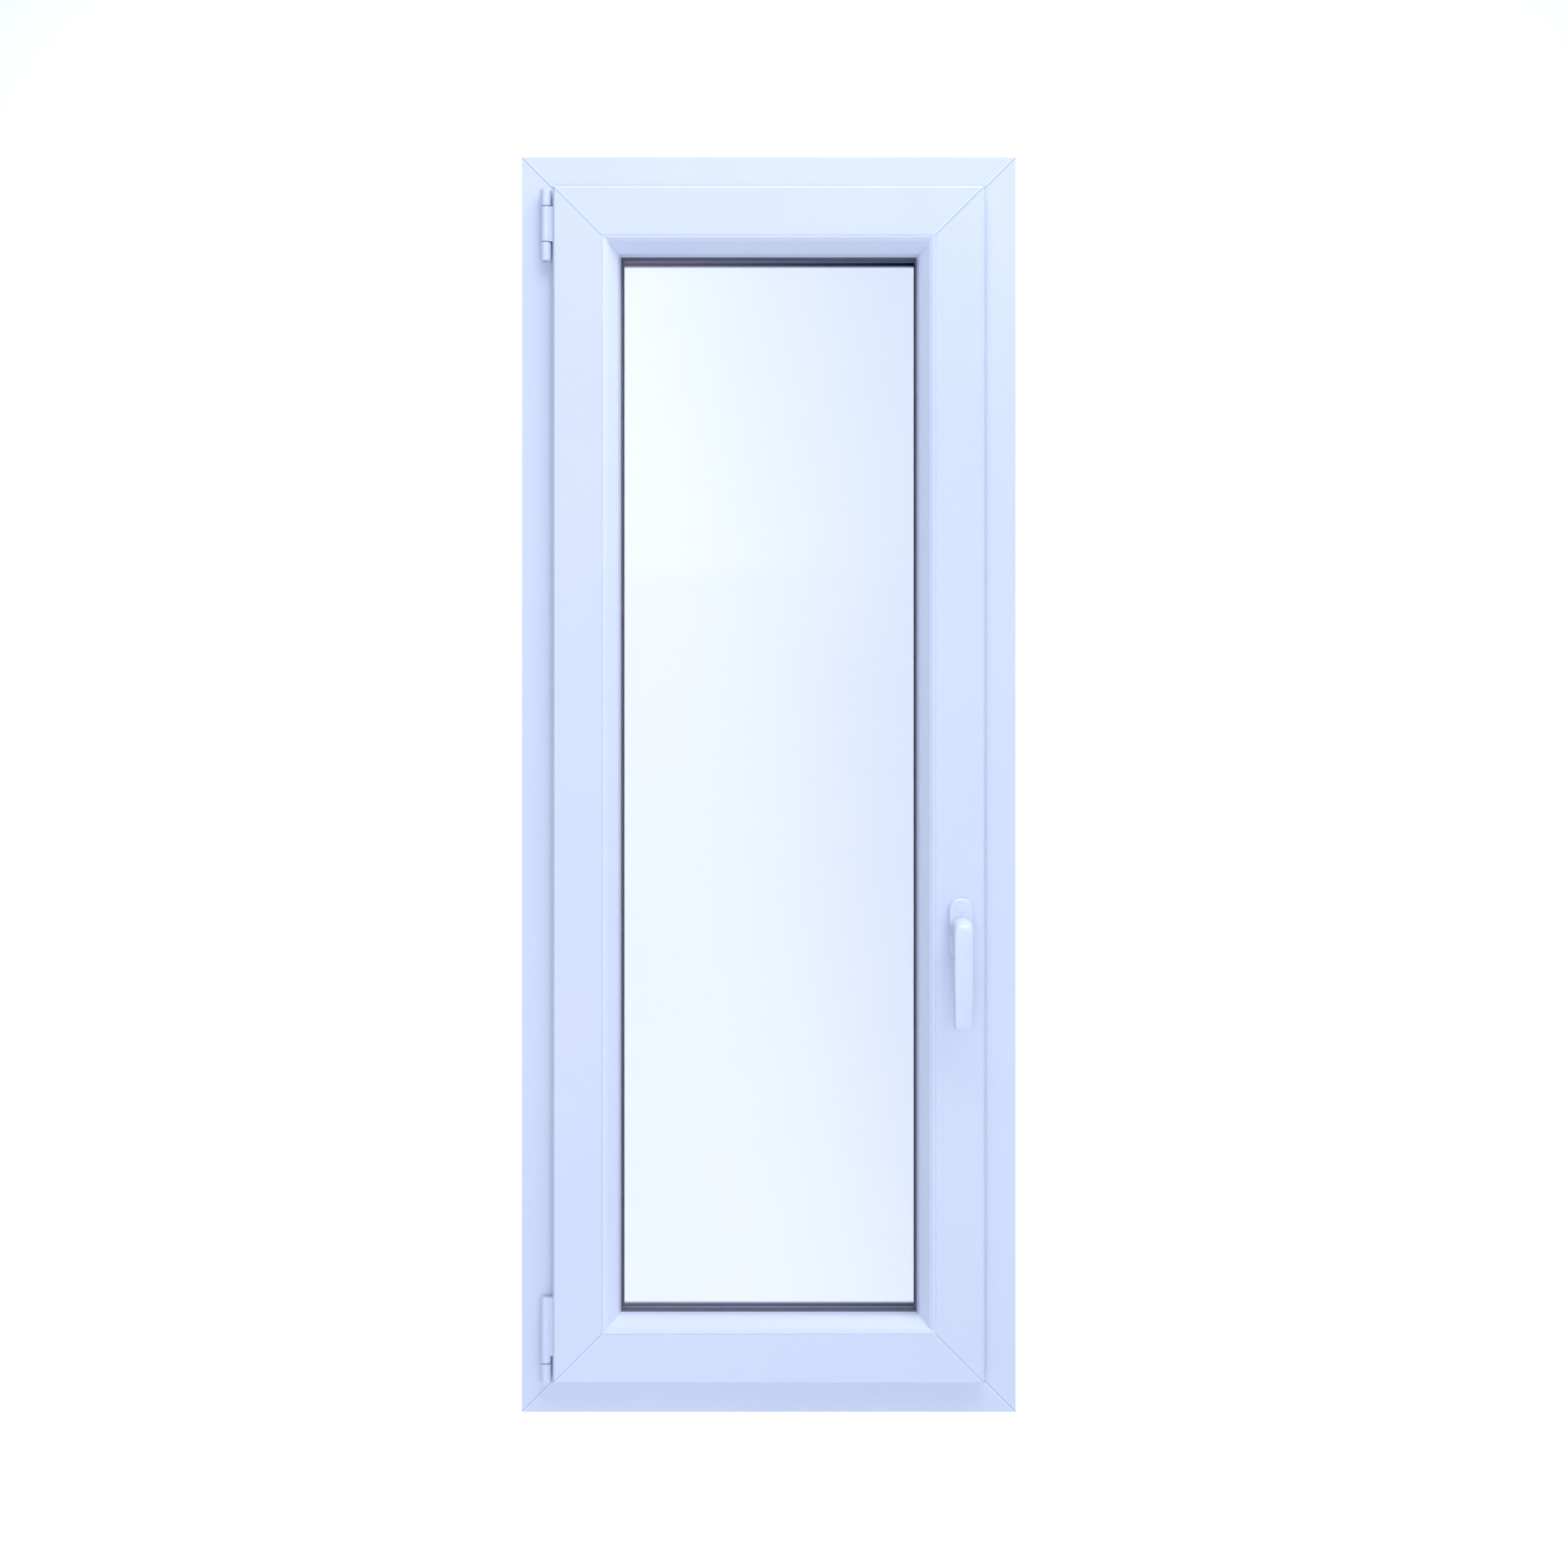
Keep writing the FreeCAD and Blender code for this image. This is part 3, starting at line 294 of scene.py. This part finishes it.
def clear_glass():
    """Float glass: nearly all the light goes through, a little comes back."""
    most_mirrored = 0.6
    paint = Paint("clear_glass", Base_Color=(0.93, 0.965, 0.985, 1), Metallic=1.0)
    tree = paint.tree
    ripple = paint.noise(1.6, 2.0, 0.4)
    normal = paint.bump(ripple, 0.0004, 0.12)
    haze = paint.noise(2.2, 3.0, 0.5)
    clear = tree.nodes.new("ShaderNodeBsdfTransparent")
    clear.inputs["Color"].default_value = (0.939, 0.950, 0.975, 1)
    fresnel = paint.add("ShaderNodeFresnel", None, {"IOR": 1.5, "Normal": normal})
    paint.set(Roughness=haze.ramp(0.3, 0.7, 0.02, 0.05), Normal=normal)
    join = tree.nodes.new("ShaderNodeMixShader")
    paint.plug(join.inputs["Fac"], fresnel.minimum(most_mirrored))
    tree.links.new(clear.outputs[0], join.inputs[1])
    tree.links.new(paint.shader.outputs[0], join.inputs[2])
    tree.links.new(join.outputs[0], tree.nodes["Material Output"].inputs["Surface"])
    return paint


FINISHES = {
    "window_profile": profile_plastic(),
    "glazing_bead": bead_plastic(),
    "glass": clear_glass(),
    "seal_rubber": seal_rubber(),
    "spacer_bar": spacer_plastic(),
    "sealant": sealant_black(),
    "glazing_block": block_plastic(),
    "handle_coating": handle_enamel(),
    "hinge_coating": hinge_enamel(),
    "zinc_casting": zinc_casting(),
    "plated_steel": plated_steel(),
}

for part in frame["record"]["subparts"]:
    node = NODES[part["node"]]
    paint = FINISHES[part["material_slot"]]
    node.data.materials.clear()
    node.data.materials.append(paint.material)


# ------------------------------------------------------------ pieces

def add_object(name, data):
    """A new object holding this data, put in the scene."""
    made = bpy.data.objects.new(name, data)
    scene.collection.objects.link(made)
    return made


def mesh_object(name, points, faces, material):
    mesh = bpy.data.meshes.new(name)
    mesh.from_pydata(points, [], faces)
    mesh.materials.append(material)
    return add_object(name, mesh)


def smooth(made, angle):
    """Outward normals, soft shading, and crisp edges where the surface really turns."""
    work = bmesh.new()
    work.from_mesh(made.data)
    bmesh.ops.remove_doubles(work, verts=work.verts, dist=SAME_POINT)
    bmesh.ops.recalc_face_normals(work, faces=work.faces)
    for face in work.faces:
        face.smooth = True
    for edge in work.edges:
        edge.smooth = len(edge.link_faces) == 2 and edge.calc_face_angle(0) < math.radians(angle)
    work.to_mesh(made.data)
    work.free()
    return made


def turns(count):
    """Equal angles, once round a circle."""
    return [2 * math.pi * k / count for k in range(count)]


def ring_of(x, y, z, radius, count):
    """The points of a circle that faces along Y."""
    return [(x + radius * math.cos(a), y, z + radius * math.sin(a)) for a in turns(count)]


def blended(stations, steps):
    """Points between stations on a Catmull-Rom curve through rows of numbers."""
    rows = []
    last = len(stations) - 1
    for i in range(last):
        a, b = stations[max(i - 1, 0)], stations[i]
        c, d = stations[i + 1], stations[min(i + 2, last)]
        for k in range(steps):
            u = k / steps
            rows.append([
                0.5 * (2 * q + (r - p) * u + (2 * p - 5 * q + 4 * r - s) * u * u
                       + (3 * q - p - 3 * r + s) * u ** 3)
                for p, q, r, s in zip(a, b, c, d)
            ])
    rows.append(list(stations[-1]))
    return rows


def skin(name, rings, material):
    """A tube through equal rings of points, with flat ends."""
    count = len(rings[0])
    faces = []
    for i in range(len(rings) - 1):
        for k in range(count):
            a, b = i * count + k, i * count + (k + 1) % count
            faces.append((a, b, b + count, a + count))
    faces.append(tuple(range(count)))
    faces.append(tuple(reversed(range((len(rings) - 1) * count, len(rings) * count))))
    return mesh_object(name, [p for ring in rings for p in ring], faces, material)


def build_lever():
    """The lever: a round neck that turns down into a softly arched flat grip."""
    neck, spigot = 13.2, 9.2      # radii, mm
    count = 56
    lo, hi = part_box("handle_lever")
    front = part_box("handle_cover")[0].y
    x, z = (lo.x + hi.x) / 2, hi.z - neck * MM
    # mm from the neck's middle on the cover's face:
    # outer edge (y, z), inner edge (y, z), half width; then squareness
    stations = [
        (-0.3, neck, -0.3, -neck, neck, 2.0),
        (-8, neck, -7, -neck, neck, 2.0),
        (-15, 13.1, -12.5, -13.4, neck, 2.05),
        (-21.5, 11.8, -16.5, -14.2, 13.0, 2.2),
        (-27.5, 9.0, -19.6, -16, 11.9, 2.6),
        (-32.3, 5.0, -22, -19, 11.3, 3.1),
        (-35.2, -2, -23.8, -23, 11.1, 3.6),
        (-36.6, -12, -25, -29, 11.0, 4.0),
        (-37.3, -28, -26, -38, 10.9, 4.2),
        (-37.7, -50, -26.8, -54, 10.9, 4.3),
        (-37.3, -75, -26.9, -76, 10.6, 4.3),
        (-36, -97, -26.2, -97, 10.2, 4.3),
        (-35.2, -106, -25.9, -106, 10.0, 4.2),
        (-34.3, -110.2, -26.5, -110.2, 9.3, 3.8),
        (-32.8, -111.6, -28, -111.6, 7.4, 3.2),
    ]
    rings = [ring_of(x, front + y * MM, z, spigot * MM, count) for y in (2.8, -0.3)]
    for fy, fz, by, bz, wide, square in blended(stations, steps=6):
        ring = []
        for a in turns(count):
            c, t = math.cos(a), math.sin(a)
            across = math.copysign(abs(c) ** (2 / square), c)
            deep = math.copysign(abs(t) ** (2 / square), t)
            y = (fy + by) / 2 + deep * (fy - by) / 2
            up = (fz + bz) / 2 + deep * (fz - bz) / 2
            ring.append((x + across * wide * MM, front + y * MM, z + up * MM))
        rings.append(ring)
    lever = smooth(skin("lever_arm", rings, FINISHES["handle_coating"].material), 50)
    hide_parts("handle_lever")
    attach(lever, "handle")


def build_rosette_cap():
    """A plain round plug over the upper fixing screw."""
    above_middle = 22.3 * MM
    lo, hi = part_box("handle_cover")
    x, z = (lo.x + hi.x) / 2, (lo.z + hi.z) / 2 + above_middle
    rings = [
        ring_of(x, lo.y - rise * MM, z, radius * MM, 48)
        for radius, rise in ((4.4, -0.05), (4.4, 0.12), (4.2, 0.24), (3.9, 0.3), (0.4, 0.34))
    ]
    cap = smooth(skin("rosette_plug", rings, FINISHES["handle_coating"].material), 60)
    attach(cap, "sash")


def screw_seats(node):
    """For each screw of a CAD node: its head's middle, its way up, length and radius."""
    work = bmesh.new()
    work.from_mesh(NODES[node].data)
    bmesh.ops.remove_doubles(work, verts=work.verts, dist=SAME_POINT)
    seats, seen = [], set()
    for first in work.verts:
        if first in seen:
            continue
        seen.add(first)
        island = [first]
        for vert in island:
            for edge in vert.link_edges:
                other = edge.other_vert(vert)
                if other not in seen:
                    seen.add(other)
                    island.append(other)
        points = [vert.co for vert in island]
        lo = Vector(min(p[i] for p in points) for i in range(3))
        hi = Vector(max(p[i] for p in points) for i in range(3))
        size, middle = hi - lo, (lo + hi) / 2
        axis = max(range(3), key=lambda i: size[i])
        side = (axis + 1) % 3
        rim = size[side] * 0.49
        widest = [p for p in points if abs(p[side] - middle[side]) > rim]
        up = 1 if sum(p[axis] for p in widest) / len(widest) > middle[axis] else -1
        head = middle.copy()
        head[axis] = hi[axis] if up > 0 else lo[axis]
        way = Vector([up if i == axis else 0 for i in range(3)])
        seats.append((head, way, size[axis], size[side] / 2))
    work.free()
    return seats


def screw_form(radius, rise, shank, length):
    """One cross-recessed pan-head screw standing up +Z, its head's top at the origin."""
    count = 32
    work = bmesh.new()
    crown = -rise * 0.02
    profile = [
        (radius * 0.50, crown), (radius * 0.78, -rise * 0.16), (radius * 0.94, -rise * 0.42),
        (radius, -rise * 0.72), (radius, -rise),
        (shank, -rise), (shank, -length * 0.9), (shank * 0.3, -length),
    ]
    loops = [
        [work.verts.new((r * math.cos(a), r * math.sin(a), z)) for a in turns(count)]
        for r, z in profile
    ]
    for low, high in zip(loops, loops[1:]):
        for k in range(count):
            work.faces.new((low[k], low[(k + 1) % count], high[(k + 1) % count], high[k]))
    work.faces.new(loops[-1])
    arm, half = radius * 0.46, radius * 0.13
    cross = [
        (arm, -half), (arm, half), (half, half), (half, arm), (-half, arm), (-half, half),
        (-arm, half), (-arm, -half), (-half, -half), (-half, -arm), (half, -arm), (half, -half),
    ]
    top = [work.verts.new((x, y, crown)) for x, y in cross]
    foot = [work.verts.new((x * 0.55, y * 0.55, -rise * 0.8)) for x, y in cross]
    for k in range(len(cross)):
        after = (k + 1) % len(cross)
        work.faces.new((top[k], top[after], foot[after], foot[k]))
    work.faces.new(foot)
    ring_edges = [e for e in work.edges if all(v in loops[0] for v in e.verts)]
    cross_edges = [e for e in work.edges if all(v in top for v in e.verts)]
    bmesh.ops.triangle_fill(work, use_beauty=True, edges=ring_edges + cross_edges)
    bmesh.ops.recalc_face_normals(work, faces=work.faces)
    mesh = bpy.data.meshes.new("screw_form")
    work.to_mesh(mesh)
    work.free()
    return bpy.data.objects.new("screw_form", mesh)


def screw_tree(form, material):
    """Sets a copy of one screw on every seat, turned to the seat's direction."""
    tree = bpy.data.node_groups.new("screw_rows", "GeometryNodeTree")
    tree.interface.new_socket("Seats", in_out="INPUT", socket_type="NodeSocketGeometry")
    size = tree.interface.new_socket("Screw Size", in_out="INPUT", socket_type="NodeSocketFloat")
    size.default_value = 1.0
    tree.interface.new_socket("Screws", in_out="OUTPUT", socket_type="NodeSocketGeometry")
    new, link = tree.nodes.new, tree.links.new
    start, end = new("NodeGroupInput"), new("NodeGroupOutput")
    source = new("GeometryNodeObjectInfo")
    source.inputs["Object"].default_value = form
    points = new("GeometryNodeMeshToPoints")
    way = new("GeometryNodeInputNamedAttribute")
    way.data_type = "FLOAT_VECTOR"
    way.inputs["Name"].default_value = "screw_way"
    turn = new("FunctionNodeAlignRotationToVector")
    spot = new("GeometryNodeInstanceOnPoints")
    real = new("GeometryNodeRealizeInstances")
    paint = new("GeometryNodeSetMaterial")
    paint.inputs["Material"].default_value = material
    link(start.outputs["Seats"], points.inputs["Mesh"])
    link(points.outputs["Points"], spot.inputs["Points"])
    link(source.outputs["Geometry"], spot.inputs["Instance"])
    link(way.outputs["Attribute"], turn.inputs["Vector"])
    link(turn.outputs["Rotation"], spot.inputs["Rotation"])
    link(start.outputs["Screw Size"], spot.inputs["Scale"])
    link(spot.outputs["Instances"], real.inputs["Geometry"])
    link(real.outputs["Geometry"], paint.inputs["Geometry"])
    link(paint.outputs["Geometry"], end.inputs["Screws"])
    return tree, size.identifier


def build_screws(node, body):
    """Cross-recessed screws in place of a node's plain ones, all of one size."""
    head_rise = 1.2 * MM
    seats = screw_seats(node)
    length, radius = seats[0][2:]
    shank = radius * 0.565
    form = screw_form(radius, head_rise, shank, length)
    tree, size = screw_tree(form, FINISHES["plated_steel"].material)
    mesh = bpy.data.meshes.new(node + "_seats")
    mesh.from_pydata([seat[0] for seat in seats], [], [])
    ways = mesh.attributes.new("screw_way", "FLOAT_VECTOR", "POINT")
    for i, seat in enumerate(seats):
        ways.data[i].vector = seat[1]
    made = add_object(node + "_detailed", mesh)
    rows = made.modifiers.new("screw_rows", "NODES")
    rows.node_group = tree
    rows[size] = 1.0
    graph = bpy.context.evaluated_depsgraph_get()
    solid = bpy.data.meshes.new_from_object(made.evaluated_get(graph))
    made.modifiers.clear()
    made.data = solid
    smooth(made, 35)
    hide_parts(node)
    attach(made, body)


build_lever()
build_rosette_cap()
build_screws("faceplate_screws", "sash")
build_screws("striker_screws", "frame")
build_screws("bracket_screws", "frame")
build_screws("corner_hinge_screws", "sash")


# ------------------------------------------------------------ floor, light, camera

def studio():
    """A white floor that curves up into a backdrop, well behind the window."""
    paint = Paint("studio_white")
    wash = paint.noise(0.7, 2.0, 0.5)
    paint.set(Base_Color=paint.mix(wash, (0.93, 0.93, 0.93), (0.95, 0.95, 0.95)), Roughness=0.9)
    points, faces = [], []
    back, radius, floor, top, reach, steps = 3.2, 1.4, -0.5, 7.0, 9.0, 12
    line = [(-reach, floor), (back - radius, floor)]
    for i in range(1, steps + 1):
        a = math.pi / 2 * i / steps
        line.append((back - radius + radius * math.sin(a), floor + radius * (1 - math.cos(a))))
    line.append((back, top))
    for i, (y, z) in enumerate(line):
        points += [(-reach, y, z), (reach, y, z)]
        if i:
            faces.append((2 * i - 2, 2 * i - 1, 2 * i + 1, 2 * i))
    sweep = mesh_object("studio_sweep", points, faces, paint.material)
    for polygon in sweep.data.polygons:
        polygon.use_smooth = True
    sweep.visible_glossy = False


def lamp(name, at, aim, width, height, power, colour=(1, 1, 1)):
    """A rectangular soft light that faces the point it's aimed at."""
    light = bpy.data.lights.new(name, "AREA")
    light.shape, light.size, light.size_y = "RECTANGLE", width, height
    light.energy, light.color = power, colour
    made = add_object(name, light)
    made.location = at
    made.rotation_euler = (Vector(aim) - Vector(at)).to_track_quat("-Z", "Y").to_euler()
    return made


def reflector_card():
    """A soft-edged bright card behind the viewer, seen only as a sheen on the glass."""
    left, right, low, high, away = -2.2, 1.2, -1.6, 3.0, -3.7
    paint = Paint("card_glow", Base_Color=(0, 0, 0, 1), Specular_IOR_Level=0.0,
                  Emission_Strength=1.9)
    x, _, z = paint.axes()
    cloud = paint.noise(1.1, 2.0, 0.5)
    slope = x * 1.9 + z * 0.3 + cloud * 0.35
    paint.set(Emission_Color=paint.mix(slope.ramp(-0.25, 1.6), (0.92, 0.78, 0.95), (0.0, 0.0, 0.0)))
    points = [(left, away, low), (right, away, low), (right, away, high), (left, away, high)]
    made = mesh_object("reflector_card", points, [(0, 3, 2, 1)], paint.material)
    made.visible_camera = False
    made.visible_diffuse = False
    made.visible_shadow = False


studio()
reflector_card()
cool_white = (0.97, 0.98, 1.0)
lamp("key_above", (1.5, -1.6, 3.4), (0, 0, 0.7), 3.0, 2.0, 45, cool_white)
lamp("top_soft", (0.4, -0.7, 2.9), (0, 0, 0.9), 2.4, 0.8, 26, cool_white)
fill = lamp("fill_front", (0.1, -3.5, 0.0), (0, 0, 0.4), 2.6, 2.6, 52, (0.86, 0.925, 1.0))
fill.visible_glossy = False
lamp("back_wall", (0, 1.0, 2.9), (0, 3.2, 0.9), 5.0, 1.2, 56)
lamp("floor_wash", (0, 0.9, 1.8), (0, 2.4, -0.5), 3.4, 1.2, 28)

world = bpy.data.worlds.new("studio_air")
world.use_nodes = True
air = world.node_tree.nodes["Background"]
air.inputs["Color"].default_value = (0.66, 0.81, 1.0, 1)
air.inputs["Strength"].default_value = 0.42
scene.world = world
scene.view_settings.view_transform = "Standard"
scene.view_settings.look = "None"

# square on to the window, a little right of its middle
eye_aside, eye_height, eye_distance, front_face = 0.0174, 0.7182, 2.7, -0.041
camera = bpy.data.cameras.new("camera")
camera.sensor_width = 36
camera.lens = 54.2
eye = add_object("camera", camera)
eye.location = (eye_aside, front_face - eye_distance, eye_height)
eye.rotation_euler = (math.pi / 2, 0, 0)
scene.camera = eye
